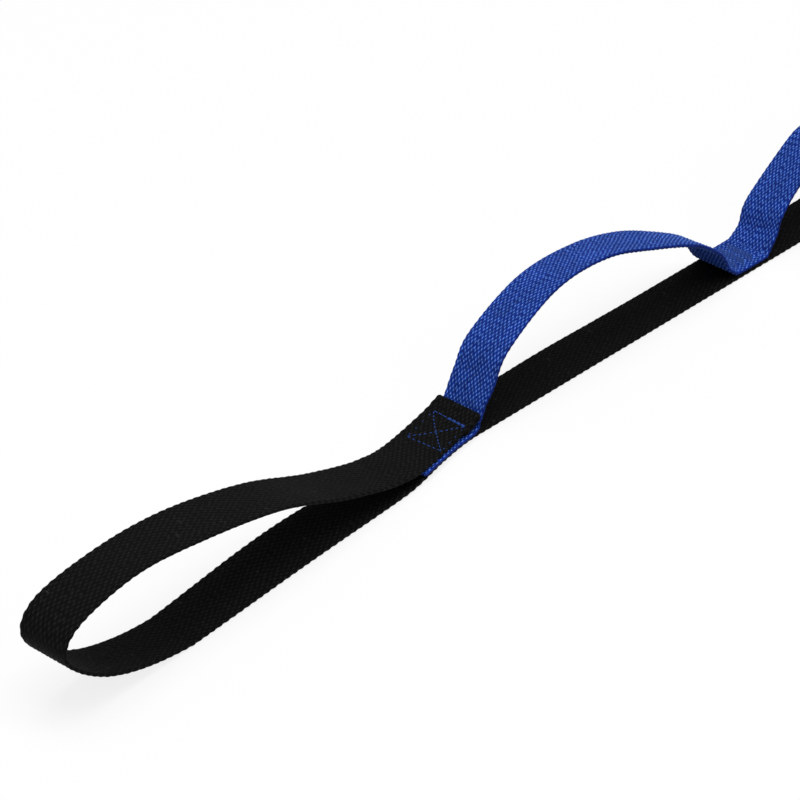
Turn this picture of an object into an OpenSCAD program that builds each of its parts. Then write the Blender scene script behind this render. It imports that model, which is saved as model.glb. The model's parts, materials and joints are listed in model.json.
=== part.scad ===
// Multi-loop webbing strap: a flat base strap with ladder loops sewn along it
// and a folded-back hand or foot loop at each end.
// X runs along the strap, Y across it and Z up. The strap lies on z = 0 and
// the origin is under its middle.

/* [Webbing] */
// Width of the base webbing and of the ladder webbing
web_w = 25; // [20:1:38]
// Thickness of the black base webbing
base_t = 2; // [1.4:0.1:2.6]
// Thickness of the blue ladder webbing
ladder_t = 2; // [1.4:0.1:2.6]

/* [Ladder loops] */
// Length of base strap left free under each ladder loop
loop_span = 188; // [150:1:230]
// Height of a ladder loop's crown above the base strap
loop_rise = 50; // [40:1:60]
// Length of the sewn patch between two ladder loops
seam_len = 20; // [16:1:30]

/* [End loops] */
// Distance from the fold line to the far side of an end loop
end_reach = 286; // [240:1:330]
// Height of an end loop's upper strand
end_rise = 56; // [46:1:64]
// Sideways step of an end loop where it leaves its sewn stack
end_step = 5.5; // [0:0.5:8]
// Length of ladder webbing tucked under the tab of an end loop
tuck_len = 46; // [38:1:48]
// Length of the hem folded under the end of the tab
hem_len = 12; // [10:1:14]

/* [Stitching] */
// Width of a raised stitch line
thread_w = 0.8; // [0.5:0.1:1.2]
// Height that a stitch line stands proud
thread_t = 0.4; // [0.3:0.1:0.6]
// Length along the strap of the boxed cross on a tab
box_len = 21; // [16:1:24]
// Share of the webbing's width that the boxed cross takes
box_share = 0.73; // [0.6:0.01:0.8]
// Rows of zigzag stitching across a sewn patch
zigzag_rows = 3; // [2:1:4]

/* [Hidden] */

// Lengths along the strap
loops = 4;                       // ladder loops
pitch = loop_span + seam_len;    // fold line to fold line
half_run = (loops * pitch - seam_len) / 2;      // middle to the outer fold lines
fold_gap = 0.3;                  // clearance beside a rounded fold end
fold_r = base_t / 2;             // rounded end of a strap piece at a fold line
patch_end = 1.8;                 // fold line to the sewn layers beside it
foot_start = 2;                  // fold line to the start of a loop's foot
foot_flat = 2;                   // flat length of a loop's foot

// Heights of the layers' middles, over a clearance between sewn layers
lay = 0.1;
base_mid = base_t / 2;
ladder_mid = base_t + lay + ladder_t / 2;
ladder_top = ladder_mid + ladder_t / 2;
tab_low = ladder_top + lay + base_t / 2;        // tab lying on the ladder end
tab_high = tab_low + base_t + lay;              // tab lying on its own hem

// Tab of an end loop, measured from its fold line
hem_r = (tab_high - tab_low) / 2;
hem_turn = patch_end + hem_r + base_t / 2;      // middle of the hem's turn
slope_start = hem_len + 1;
slope_end = slope_start + 12;                   // tab's ramp down off its hem
strand_end = tuck_len + 2;                      // tab meets the upper strand
strand_gap = 4;                  // end of the flat stack to the rolled lower strand
stack_step = 7;                  // spacing of points along the flat stack

// Sideways run of an end loop: a smooth step, then a steady drift
sway = 0.075;                    // drift per length
step_len = 55;                   // length over which the step is taken

// Zigzag rows of a patch
row_inset = 1.5;                 // landing of the loop to the first row
row_space = 0.6;                 // clearance between rows
legs = 10;                       // diagonal stitch runs in a row
edge_inset = 2;                  // selvedge to the end of a row
lean_w = 1.4 * thread_w;         // a 45 degree leg's width along the strap

// Boxed cross of a tab
box_start = hem_turn + 4.5;      // fold line to the box
stitch_lift = 0.15;              // clearance under a line on the sloping tab

steps = 4;                       // points to a stretch of a smooth path
black = [0.09, 0.09, 0.095];
blue = [0.15, 0.26, 0.54];
thread_blue = [0.13, 0.31, 0.66];

// Ladder loop: share of the span, share of the rise, roll in degrees
LOOP = [
    [0.045, 0.17, -3], [0.065, 0.36, -3], [0.11, 0.65, -3], [0.28, 0.98, -8],
    [0.47, 1, -8], [0.65, 0.82, -4], [0.82, 0.56, -5], [0.92, 0.33, -2],
    [0.955, 0.16, -1]
];

// End loop: share of the reach, share of the rise, roll in degrees. The lower
// strand keeps its near edge on the ground.
LOWER = [[0.24, 0, 3], [0.38, 0, 12], [0.51, 0, 13], [0.72, 0, 4]];
UPPER = [
    [0.89, 0.22, 3], [0.985, 0.6, 5], [0.97, 0.9, 6], [0.84, 1, 3],
    [0.69, 0.93, 7], [0.51, 0.71, 5], [0.37, 0.44, 5], [0.25, 0.22, 2]
];

// Points on a smooth curve through rows
function smooth_path(rows) = let(
    n = len(rows) - 1,
    all = concat([2 * rows[0] - rows[1]], rows, [2 * rows[n] - rows[n - 1]])
) concat([
    for (i = [1 : n], j = [0 : steps - 1]) let(
        t = j / steps, a = all[i - 1], b = all[i], c = all[i + 1], d = all[i + 2]
    ) 0.5 * (2 * b + (c - a) * t + (2 * a - 5 * b + 4 * c - d) * t * t
        + (3 * b - a - 3 * c + d) * t * t * t)
], [rows[n]]);

// Direction of a path at point i, from its neighbours, in the X-Z plane
function heading(path, i) = let(
    a = path[max(i - 1, 0)], b = path[min(i + 1, len(path) - 1)],
    d = [b[0] - a[0], b[1] - a[1]]
) d / norm(d);

// Sideways position and angle of an end loop at a distance from its fold line
function ease(t) = let(c = min(max(t, 0), 1)) c * c * (3 - 2 * c);
function side_step(xi) = (end_step + sway * max(xi, 0)) * ease(xi / step_len);
function side_angle(xi) = atan(side_step(xi + 0.5) - side_step(xi - 0.5));

// A point of an end loop: xi from the fold line, zeta up, v across
function bent(xi, zeta, v) = let(turn = side_angle(xi)) [
    -xi - v * sin(turn), -side_step(xi) + v * cos(turn), zeta
];

// Ring of a webbing section t thick at point p of a path, heading along h
CORNERS = [[-1, -1], [1, -1], [1, 1], [-1, 1]];
function section(p, h, t) = [
    for (c = CORNERS) let(v = c[0] * web_w / 2, n = c[1] * t / 2)
        [p[0] - h[1] * n, v * cos(p[2]), p[1] + h[0] * n + v * sin(p[2])]
];
function bent_section(p, h, t) = [for (q = section(p, h, t)) bent(q[0], q[2], q[1])];

// Solid through a list of four-cornered rings; flip turns its faces over
module skin(rings, flip = false) {
    n = len(rings);
    sides = [
        for (i = [0 : n - 2], j = [0 : 3]) let(k = (j + 1) % 4)
            [4 * i + j, 4 * i + k, 4 * (i + 1) + k, 4 * (i + 1) + j]
    ];
    faces = concat(sides, [[3, 2, 1, 0]], [[for (j = [0 : 3]) 4 * (n - 1) + j]]);
    polyhedron(
        points = [for (r = rings, q = r) q],
        faces = flip ? faces : [for (f = faces) [for (j = [len(f) - 1 : -1 : 0]) f[j]]]
    );
}

module straight_web(path, t) {
    skin([for (i = [0 : len(path) - 1]) section(path[i], heading(path, i), t)]);
}

module bent_web(path, t) {
    skin([for (i = [0 : len(path) - 1]) bent_section(path[i], heading(path, i), t)], true);
}

// Fold line at the left of ladder loop i
function fold_x(i) = (i - 1) * pitch - half_run;

// Base strap between two fold lines, rounded where another piece turns on it
module base_piece(i) {
    from = fold_x(i);
    last = i == loops;
    to = last ? half_run : from + pitch - fold_r - fold_gap;
    color(black)
        rotate([90, 0, 0])
            linear_extrude(web_w, center = true) {
                translate([from, 0]) square([to - from, base_t]);
                translate([from, base_mid]) circle(fold_r, $fn = 48);
                if (last) translate([to, base_mid]) circle(fold_r, $fn = 48);
            }
}

// Centre line of ladder loop i, with the sewn patch beyond it if it has one
function loop_path(i) = let(
    from = fold_x(i),
    to = from + loop_span,
    last = i == loops,
    foot = from + foot_start,
    landing = to - foot_flat - (last ? foot_start : 0),
    crown = [
        for (r = LOOP) [from + r[0] * loop_span, ladder_mid + r[1] * loop_rise, r[2]]
    ]
) concat(
    [[foot, ladder_mid, 0]],
    smooth_path(concat(
        [[foot + foot_flat, ladder_mid, 0]], crown, [[landing, ladder_mid, 0]]
    )),
    [[last ? to - foot_start : to + seam_len - patch_end, ladder_mid, 0]]
);

module ladder_piece(i) {
    color(blue) straight_web(loop_path(i), ladder_t);
}

// Zigzag rows across the patch at the end of ladder loop i
module zigzag_seam(i) {
    room = seam_len - row_inset - patch_end - lean_w;
    row = (room + row_space) / zigzag_rows;
    swing = row - row_space - lean_w / 2;
    reach = web_w - 2 * edge_inset;
    zig = [for (j = [0 : legs]) [(j % 2) * swing, -reach / 2 + j * reach / legs]];
    back = [for (j = [legs : -1 : 0]) zig[j] + [lean_w, 0]];
    color(thread_blue)
        for (r = [0 : zigzag_rows - 1])
            translate([fold_x(i) + loop_span + row_inset + r * row, 0, ladder_top + lay / 2])
                linear_extrude(thread_t)
                    polygon(concat(zig, back));
}

// Middle height of the tab over its stack
function tab_mid(xi) = lookup(xi, [[slope_start, tab_high], [slope_end, tab_low]]);

// Lowest middle height of a rolled strand: its near edge is on the ground
function on_ground(roll) = base_mid + web_w / 2 * sin(roll);

// Centre line of an end loop, from its fold line out, round and back to the hem
function end_path() = concat(
    [for (xi = [fold_r + fold_gap : stack_step : strand_end]) [xi, base_mid, 0]],
    [
        for (p = smooth_path(concat(
            [[strand_end + strand_gap, base_mid, 0]],
            [for (r = LOWER) [r[0] * end_reach, on_ground(r[2]), r[2]]],
            [for (r = UPPER) [r[0] * end_reach, base_mid + r[1] * end_rise, r[2]]],
            [[strand_end + 8, tab_low + 2, 1], [strand_end, tab_low + 0.6, 0]]
        ))) [p[0], max(p[1], on_ground(p[2])), p[2]]
    ],
    [for (xi = [strand_end - 4 : -3 : hem_turn + 1]) [xi, tab_mid(xi), 0]],
    [
        for (a = [90 : -30 : -90])
            [hem_turn - hem_r * cos(a), tab_low + hem_r + hem_r * sin(a), 0]
    ],
    [for (xi = [hem_turn + 3, hem_len - 1]) [xi, tab_low, 0]]
);

module end_loop() {
    color(black) bent_web(end_path(), base_t);
}

module ladder_end() {
    color(blue)
        bent_web([
            for (k = [0 : 8]) [patch_end + (tuck_len - patch_end) * k / 8, ladder_mid, 0]
        ], ladder_t);
}

// One stitch line on the tab, from [xi, v] to [xi, v], drawn as a raised bar
module tab_stitch(a, b) {
    n = max(1, ceil(abs(b[0] - a[0]) / 3));
    d = (b - a) / norm(b - a);
    side = [-d[1], d[0]] * thread_w / 2;
    skin([
        for (i = [0 : n]) let(c = a + (b - a) * i / n) [
            for (k = [[-1, 0], [1, 0], [1, 1], [-1, 1]]) let(q = c + side * k[0])
                bent(q[0], tab_mid(q[0]) + base_t / 2 + stitch_lift + k[1] * thread_t, q[1])
        ]
    ], true);
}

// Boxed cross that holds the tab, the ladder end and the base strap together
module box_stitch() {
    near = box_start;
    far = near + box_len;
    half = web_w * box_share / 2;
    mid = [(near + far) / 2, 0];
    up = [box_len, 2 * half] / norm([box_len, 2 * half]);
    down = [up[0], -up[1]];
    clear = thread_w;            // crossing to the ends of the broken diagonal
    inset = 2.2 * thread_w;      // corner to the end of a diagonal
    color(thread_blue) {
        for (xi = [near, far]) tab_stitch([xi, -half], [xi, half]);
        for (s = [-1, 1]) tab_stitch([near + clear, s * half], [far - clear, s * half]);
        tab_stitch([near, -half] + up * inset, [far, half] - up * inset);
        tab_stitch([near, half] + down * inset, mid - down * clear);
        tab_stitch(mid + down * clear, [far, -half] - down * inset);
    }
}

// An end is placed at its outer fold line; the far one is turned half a turn
module at_end_a() {
    translate([-half_run, 0, 0]) children();
}

module at_end_b() {
    rotate([0, 0, 180]) at_end_a() children();
}

at_end_a() end_loop();  // end_loop_a
at_end_a() ladder_end();  // ladder_end_a
at_end_a() box_stitch();  // box_stitch_a
base_piece(1);  // base_strap_1
ladder_piece(1);  // ladder_loop_1
zigzag_seam(1);  // seam_stitch_1
base_piece(2);  // base_strap_2
ladder_piece(2);  // ladder_loop_2
zigzag_seam(2);  // seam_stitch_2
base_piece(3);  // base_strap_3
ladder_piece(3);  // ladder_loop_3
zigzag_seam(3);  // seam_stitch_3
base_piece(4);  // base_strap_4
ladder_piece(4);  // ladder_loop_4
at_end_b() end_loop();  // end_loop_b
at_end_b() ladder_end();  // ladder_end_b
at_end_b() box_stitch();  // box_stitch_b
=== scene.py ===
"""Multi-loop webbing strap: black base webbing, blue ladder loops and their stitching.

Two long bands of webbing are woven along their routes, float by float, and cut into pieces
at the fold lines. Lengths in the classes are in millimetres. The builders turn them to
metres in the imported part's own frame: X along the strap, Y across it, Z up, with the strap
lying on z = 0.
"""

import json
import logging
import math
from dataclasses import dataclass, field
from enum import Enum
from typing import Optional, Sequence

import bpy
import numpy as np
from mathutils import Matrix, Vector


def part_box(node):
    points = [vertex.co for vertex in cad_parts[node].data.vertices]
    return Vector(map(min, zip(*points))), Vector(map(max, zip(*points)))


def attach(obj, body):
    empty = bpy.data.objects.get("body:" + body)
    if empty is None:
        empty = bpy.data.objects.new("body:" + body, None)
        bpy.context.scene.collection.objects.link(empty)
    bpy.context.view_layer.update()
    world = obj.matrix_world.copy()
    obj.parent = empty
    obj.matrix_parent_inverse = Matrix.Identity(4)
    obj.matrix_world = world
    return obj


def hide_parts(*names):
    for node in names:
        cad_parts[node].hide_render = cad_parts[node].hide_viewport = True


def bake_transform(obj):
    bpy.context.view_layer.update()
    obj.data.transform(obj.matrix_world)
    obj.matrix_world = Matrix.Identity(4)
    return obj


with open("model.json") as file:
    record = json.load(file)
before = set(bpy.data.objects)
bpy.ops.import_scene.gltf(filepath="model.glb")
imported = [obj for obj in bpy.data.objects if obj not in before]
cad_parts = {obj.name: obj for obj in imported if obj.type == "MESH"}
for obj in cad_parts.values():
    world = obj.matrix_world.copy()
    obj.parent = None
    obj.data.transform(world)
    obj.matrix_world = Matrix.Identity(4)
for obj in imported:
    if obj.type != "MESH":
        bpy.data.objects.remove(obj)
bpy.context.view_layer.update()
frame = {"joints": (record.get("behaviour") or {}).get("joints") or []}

log = logging.getLogger("strap")
MM = 0.001
TAU = 2 * math.pi
Row = tuple[float, float, float]


# ---------------------------------------------------------------------------
# Small tools
# ---------------------------------------------------------------------------

def linear(colour: str) -> tuple[float, float, float, float]:
    """Turn an sRGB hex colour into linear RGBA.

    Args:
        colour: the colour as "#rrggbb".

    Returns:
        Red, green, blue and an alpha of 1, linear.
    """
    parts = [int(colour[i:i + 2], 16) / 255 for i in (1, 3, 5)]
    return tuple(c / 12.92 if c <= 0.04045 else ((c + 0.055) / 1.055) ** 2.4 for c in parts) + (1.0,)


def smooth(t: np.ndarray) -> np.ndarray:
    """Ease from 0 to 1, flat at both ends."""
    c = np.clip(t, 0.0, 1.0)
    return c * c * (3 - 2 * c)


def curve_through(rows: Sequence[Row], steps: int = 60) -> np.ndarray:
    """Run a smooth curve through rows of numbers.

    Args:
        rows: the points that the curve passes.
        steps: how many pieces each stretch between two rows gets.

    Returns:
        The curve's points, one row each.
    """
    p = np.array(rows, float)
    p = np.vstack([2 * p[0] - p[1], p, 2 * p[-1] - p[-2]])
    t = (np.arange(steps) / steps)[:, None]
    out = []
    for i in range(1, len(p) - 2):
        a, b, c, d = p[i - 1], p[i], p[i + 1], p[i + 2]
        out.append(0.5 * (2 * b + (c - a) * t + (2 * a - 5 * b + 4 * c - d) * t ** 2
                          + (3 * b - a - 3 * c + d) * t ** 3))
    return np.vstack(out + [p[-2][None]])


def unit(rows: np.ndarray) -> np.ndarray:
    """Scale each row of numbers to a length of 1."""
    return rows / np.linalg.norm(rows, axis=1)[:, None]


def read_rows(at: np.ndarray, places: np.ndarray, rows: np.ndarray) -> np.ndarray:
    """Read rows of three numbers, known at the given places, at other places between them."""
    return np.stack([np.interp(at, places, rows[:, k]) for k in range(3)], axis=1)


def mesh_object(name: str, points: np.ndarray, faces: Sequence[Sequence[int]],
                maps: Optional[dict[str, np.ndarray]] = None) -> bpy.types.Object:
    """Make a smooth-shaded mesh object.

    Args:
        name: the object's name.
        points: vertex places in millimetres.
        faces: vertex numbers of each face.
        maps: UV maps by name, one row for each face corner.

    Returns:
        The new object, linked to the scene.
    """
    mesh = bpy.data.meshes.new(name)
    mesh.from_pydata((np.asarray(points) * MM).tolist(), [], [list(map(int, f)) for f in faces])
    for map_name, uv in (maps or {}).items():
        layer = mesh.uv_layers.new(name=map_name)
        layer.data.foreach_set("uv", np.asarray(uv, np.float32).ravel())
    mesh.polygons.foreach_set("use_smooth", np.ones(len(mesh.polygons), bool))
    mesh.update()
    obj = bpy.data.objects.new(name, mesh)
    bpy.context.scene.collection.objects.link(obj)
    return obj


def empty_tree(owner: bpy.types.ID) -> bpy.types.NodeTree:
    """Turn on a material's or a world's nodes, and give its tree with nothing in it.

    Args:
        owner: the material or the world.

    Returns:
        Its node tree.
    """
    owner.use_nodes = True
    owner.node_tree.nodes.clear()
    return owner.node_tree


def add_node(tree: bpy.types.NodeTree, kind: str, settings: Optional[dict] = None,
             inputs: Optional[dict] = None) -> bpy.types.Node:
    """Add one shader node with its settings and what feeds it.

    Args:
        tree: the node tree.
        kind: the node's Blender type.
        settings: properties to set on the node.
        inputs: what each input gets: a value, an output socket, or a node for its first output.

    Returns:
        The new node.
    """
    node = tree.nodes.new(kind)
    for key, value in (settings or {}).items():
        setattr(node, key, value)
    for key, value in (inputs or {}).items():
        if isinstance(value, bpy.types.Node):
            value = value.outputs[0]
        if isinstance(value, bpy.types.NodeSocket):
            tree.links.new(value, node.inputs[key])
        else:
            node.inputs[key].default_value = value
    return node


# ---------------------------------------------------------------------------
# Finishes
# ---------------------------------------------------------------------------

@dataclass(frozen=True)
class WebbingFinish:
    """Narrow woven webbing of spun polyester yarn, coloured by dye and left uncoated.

    The ends lie as soft pebbles with darker gaps between them, where the deeper yarn is
    darkened further with painted shade. Each pebble has a small pale top, a painted highlight
    where its fibres face the light, and loose fibre gives a faint sheen where the band turns
    away from the eye.
    """

    name: str
    painted_crown_highlight: str                   # sRGB painted highlight on top of a float
    body: str                    # sRGB of a float's flanks
    gap: str                     # sRGB between the floats: the deeper yarn, darkened with painted shade
    ends: int                    # warp ends across the band
    float_len: float             # mm along the band that one float shows
    relief: float                # mm that a float stands over the mean surface
    scallop: float               # mm that the selvedge goes in and out
    roughness: float = 0.8
    uneven: float = 0.12         # how far the grain takes the roughness either way
    gloss: float = 0.2           # low, because the fibres shade one another
    sheen: float = 0.05
    lint: float = 0.0            # how strongly stray pale fibres show

    def material(self) -> bpy.types.Material:
        """Build the woven material, which reads the band's own weave coordinates.

        Returns:
            The material.
        """
        mat = bpy.data.materials.new(self.name)
        tree = empty_tree(mat)
        uv = add_node(tree, "ShaderNodeUVMap", {"uv_map": "weave"})
        axes = add_node(tree, "ShaderNodeSeparateXYZ", inputs={0: uv})
        along, across = axes.outputs[0], axes.outputs[1]

        # plain weave: each end is a float behind the last
        end = add_node(tree, "ShaderNodeMath", {"operation": "FLOOR"}, {0: across})
        phase = add_node(tree, "ShaderNodeMath", {"operation": "ADD"}, {0: end, 1: along})
        angle = add_node(tree, "ShaderNodeMath", {"operation": "MULTIPLY"}, {0: phase, 1: math.pi})
        wave = add_node(tree, "ShaderNodeMath", {"operation": "COSINE"}, {0: angle})
        up = add_node(tree, "ShaderNodeMath", {"operation": "MULTIPLY_ADD"}, {0: wave, 1: 0.5, 2: 0.5})
        # a float is domed: at its end's sides it keeps 0.15 of its height
        share = add_node(tree, "ShaderNodeMath", {"operation": "FRACT"}, {0: across})
        off = add_node(tree, "ShaderNodeMath", {"operation": "SUBTRACT"}, {0: share, 1: 0.5})
        square = add_node(tree, "ShaderNodeMath", {"operation": "MULTIPLY"}, {0: off, 1: off})
        fall = add_node(tree, "ShaderNodeMath", {"operation": "MULTIPLY"}, {0: square, 1: 3.4})
        dome = add_node(tree, "ShaderNodeMath", {"operation": "SUBTRACT"}, {0: 1.0, 1: fall})
        height = add_node(tree, "ShaderNodeMath", {"operation": "MULTIPLY"}, {0: up, 1: dome})

        # each float has its own tone, because spun yarn takes the dye unevenly
        pair = add_node(tree, "ShaderNodeMath", {"operation": "MULTIPLY_ADD"}, {0: phase, 1: 0.5, 2: 0.5})
        nth = add_node(tree, "ShaderNodeMath", {"operation": "FLOOR"}, {0: pair})
        cell = add_node(tree, "ShaderNodeCombineXYZ", inputs={0: nth, 1: end})
        tone = add_node(tree, "ShaderNodeTexWhiteNoise", {"noise_dimensions": "2D"},
                        {"Vector": cell}).outputs["Value"]

        # fibres: streaks of about 0.2 mm, drawn coarser than the real 0.02 mm so that they show
        streak = add_node(tree, "ShaderNodeMath", {"operation": "MULTIPLY"},
                          {0: along, 1: self.float_len * 1.3})
        slant = add_node(tree, "ShaderNodeMath", {"operation": "MULTIPLY"}, {0: along, 1: 2.4})
        fibre = add_node(tree, "ShaderNodeMath", {"operation": "MULTIPLY_ADD"},
                         {0: across, 1: 5.0, 2: slant})
        grain_at = add_node(tree, "ShaderNodeCombineXYZ", inputs={0: streak, 1: fibre})
        grain = add_node(tree, "ShaderNodeTexNoise", {"noise_dimensions": "2D"},
                         {"Vector": grain_at, "Scale": 1.0, "Detail": 4.0,
                          "Roughness": 0.7}).outputs["Fac"]
        # 30 mm clouds: handling and dye give the whole band a slow change of tone
        slow_along = add_node(tree, "ShaderNodeMath", {"operation": "MULTIPLY"},
                              {0: along, 1: self.float_len / 30})
        slow_across = add_node(tree, "ShaderNodeMath", {"operation": "MULTIPLY"}, {0: across, 1: 0.06})
        slow_at = add_node(tree, "ShaderNodeCombineXYZ", inputs={0: slow_along, 1: slow_across})
        slow = add_node(tree, "ShaderNodeTexNoise", {"noise_dimensions": "2D"},
                        {"Vector": slow_at, "Scale": 1.0, "Detail": 2.0}).outputs["Fac"]

        # the height and the grain choose the colour, from painted shade in the gaps to a painted highlight on
        # each float's top, and the three noises its value
        rough_grain = add_node(tree, "ShaderNodeMath", {"operation": "MULTIPLY_ADD"},
                               {0: grain, 1: 1.1, 2: -0.55})
        lit = add_node(tree, "ShaderNodeMath", {"operation": "ADD"}, {0: height, 1: rough_grain})
        # the ramp paints shade into the gaps and a highlight on top of each float
        ramp = add_node(tree, "ShaderNodeValToRGB", inputs={0: lit})
        ramp.color_ramp.elements[0].position = 0.05
        ramp.color_ramp.elements[0].color = linear(self.gap)
        ramp.color_ramp.elements[1].position = 1.0
        ramp.color_ramp.elements[1].color = linear(self.painted_crown_highlight)
        middle = ramp.color_ramp.elements.new(0.6)
        middle.color = linear(self.body)
        value = 1.0
        for noise, gain, least in ((tone, 0.4, 0.8), (grain, 1.3, 0.35), (slow, 0.36, 0.82)):
            factor = add_node(tree, "ShaderNodeMath", {"operation": "MULTIPLY_ADD"},
                              {0: noise, 1: gain, 2: least})
            value = add_node(tree, "ShaderNodeMath", {"operation": "MULTIPLY"}, {0: value, 1: factor})
        # the dye's colour, with the ramp's painted highlight and shade, times the three tone noises
        dye_and_painted_light = add_node(tree, "ShaderNodeHueSaturation", inputs={"Color": ramp, "Value": value})
        if self.lint:
            dye_and_painted_light = self.with_lint(tree, dye_and_painted_light, along, across)

        rough = add_node(tree, "ShaderNodeMapRange",
                         inputs={"Value": grain, "To Min": self.roughness - self.uneven,
                                 "To Max": min(1.0, self.roughness + self.uneven)})
        skin = add_node(tree, "ShaderNodeMath", {"operation": "MULTIPLY_ADD"},
                        {0: grain, 1: 1.6, 2: height})
        bump = add_node(tree, "ShaderNodeBump",
                        inputs={"Height": skin, "Strength": 0.8, "Distance": 0.14 * MM})
        shader = add_node(tree, "ShaderNodeBsdfPrincipled", inputs={
            "Base Color": dye_and_painted_light, "Roughness": rough, "Normal": bump,
            "IOR": 1.5, "Specular IOR Level": self.gloss,
            "Sheen Weight": self.sheen, "Sheen Roughness": 0.45,
            "Sheen Tint": linear(self.painted_crown_highlight)})
        add_node(tree, "ShaderNodeOutputMaterial", inputs={"Surface": shader})
        return mat

    def with_lint(self, tree: bpy.types.NodeTree, dye_and_painted_light: bpy.types.Node,
                  along: bpy.types.NodeSocket, across: bpy.types.NodeSocket) -> bpy.types.NodeSocket:
        """Lay a few short pale fibres on the webbing's colour, which carries its painted highlight and shade.

        Args:
            tree: the material's tree.
            dye_and_painted_light: the node that gives the webbing's colour, dye with painted highlight and
                shade.
            along: floats along the band.
            across: ends across it.

        Returns:
            The colour with its lint.
        """
        at = add_node(tree, "ShaderNodeCombineXYZ", inputs={0: along, 1: across})
        # one place for lint in each 8 mm, and one in five of them has it
        turned = add_node(tree, "ShaderNodeMapping", inputs={
            "Vector": at, "Rotation": (0, 0, 0.7),
            "Scale": (self.float_len / 8, 1.1 / 22, 1)})
        cells = add_node(tree, "ShaderNodeTexVoronoi", {"voronoi_dimensions": "2D"},
                         {"Vector": turned, "Scale": 1.0})
        near = add_node(tree, "ShaderNodeMapRange", inputs={
            "Value": cells.outputs["Distance"], "From Min": 0.02, "From Max": 0.06,
            "To Min": self.lint, "To Max": 0.0})
        pick = add_node(tree, "ShaderNodeSeparateXYZ", inputs={0: cells.outputs["Color"]})
        chosen = add_node(tree, "ShaderNodeMath", {"operation": "GREATER_THAN"}, {0: pick, 1: 0.8})
        share = add_node(tree, "ShaderNodeMath", {"operation": "MULTIPLY"}, {0: near, 1: chosen})
        return add_node(tree, "ShaderNodeMix", {"data_type": "RGBA"},
                        {"Factor": share, "A": dye_and_painted_light, "B": linear("#9a9aa0")}).outputs["Result"]


@dataclass(frozen=True)
class ThreadFinish:
    """Three-ply polyester sewing thread: smoother than the webbing, with a silky twist."""

    name: str
    light: str                   # sRGB painted highlight on the top of a ply
    dark: str                    # sRGB painted shade between two plies
    ply_pitch: float = 0.9       # mm along the thread from one ply to the next

    def material(self) -> bpy.types.Material:
        """Build the thread's material, with its plies as slanting light and dark bands.

        Returns:
            The material.
        """
        mat = bpy.data.materials.new(self.name)
        tree = empty_tree(mat)
        uv = add_node(tree, "ShaderNodeUVMap", {"uv_map": "weave"})
        axes = add_node(tree, "ShaderNodeSeparateXYZ", inputs={0: uv})
        turn = add_node(tree, "ShaderNodeMath", {"operation": "MULTIPLY_ADD"},
                        {0: axes, 1: 1 / self.ply_pitch, 2: axes.outputs[1]})
        angle = add_node(tree, "ShaderNodeMath", {"operation": "MULTIPLY"}, {0: turn, 1: TAU})
        wave = add_node(tree, "ShaderNodeMath", {"operation": "SINE"}, {0: angle})
        ply = add_node(tree, "ShaderNodeMapRange", inputs={"Value": wave, "From Min": -1.0})
        # painted highlight on each ply's top and painted shade between the plies, over the bump
        dye_and_painted_light = add_node(tree, "ShaderNodeMix", {"data_type": "RGBA"},
                        {"Factor": ply, "A": linear(self.dark), "B": linear(self.light)})
        bump = add_node(tree, "ShaderNodeBump",
                        inputs={"Height": ply, "Strength": 0.6, "Distance": 0.08 * MM})
        shader = add_node(tree, "ShaderNodeBsdfPrincipled", inputs={
            "Base Color": dye_and_painted_light.outputs["Result"], "Roughness": 0.55, "IOR": 1.5,
            "Specular IOR Level": 0.25, "Sheen Weight": 0.05, "Normal": bump})
        add_node(tree, "ShaderNodeOutputMaterial", inputs={"Surface": shader})
        return mat


# the top colour is a painted highlight on each float, and the gap colour the deeper yarn darkened with painted
# shade
BLACK_WEBBING = WebbingFinish(
    name="black_polyester_webbing", painted_crown_highlight="#202020", body="#0c0c0c", gap="#040404",
    ends=22, float_len=2.3, relief=0.16, scallop=0.5, gloss=0.1, sheen=0.015, lint=0.08)
BLUE_WEBBING = WebbingFinish(
    name="blue_polyester_webbing", painted_crown_highlight="#6890e0", body="#1c4aae", gap="#052078",
    ends=24, float_len=1.7, relief=0.16, scallop=0.28, gloss=0.16, sheen=0.09)
# the thread's light and dark colours are painted highlight and painted shade on its plies
BLUE_THREAD = ThreadFinish(name="blue_sewing_thread", light="#2653a8", dark="#0c276c")


def dress(obj: bpy.types.Object, finish: WebbingFinish | ThreadFinish) -> None:
    """Give a piece the material of its finish, which is built the first time."""
    obj.data.materials.append(bpy.data.materials.get(finish.name) or finish.material())


# ---------------------------------------------------------------------------
# Sizes
# ---------------------------------------------------------------------------

class Face(Enum):
    """The two faces of a band: the upper one of the flat strap, and the lower one."""

    UPPER = 1
    LOWER = -1


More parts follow.
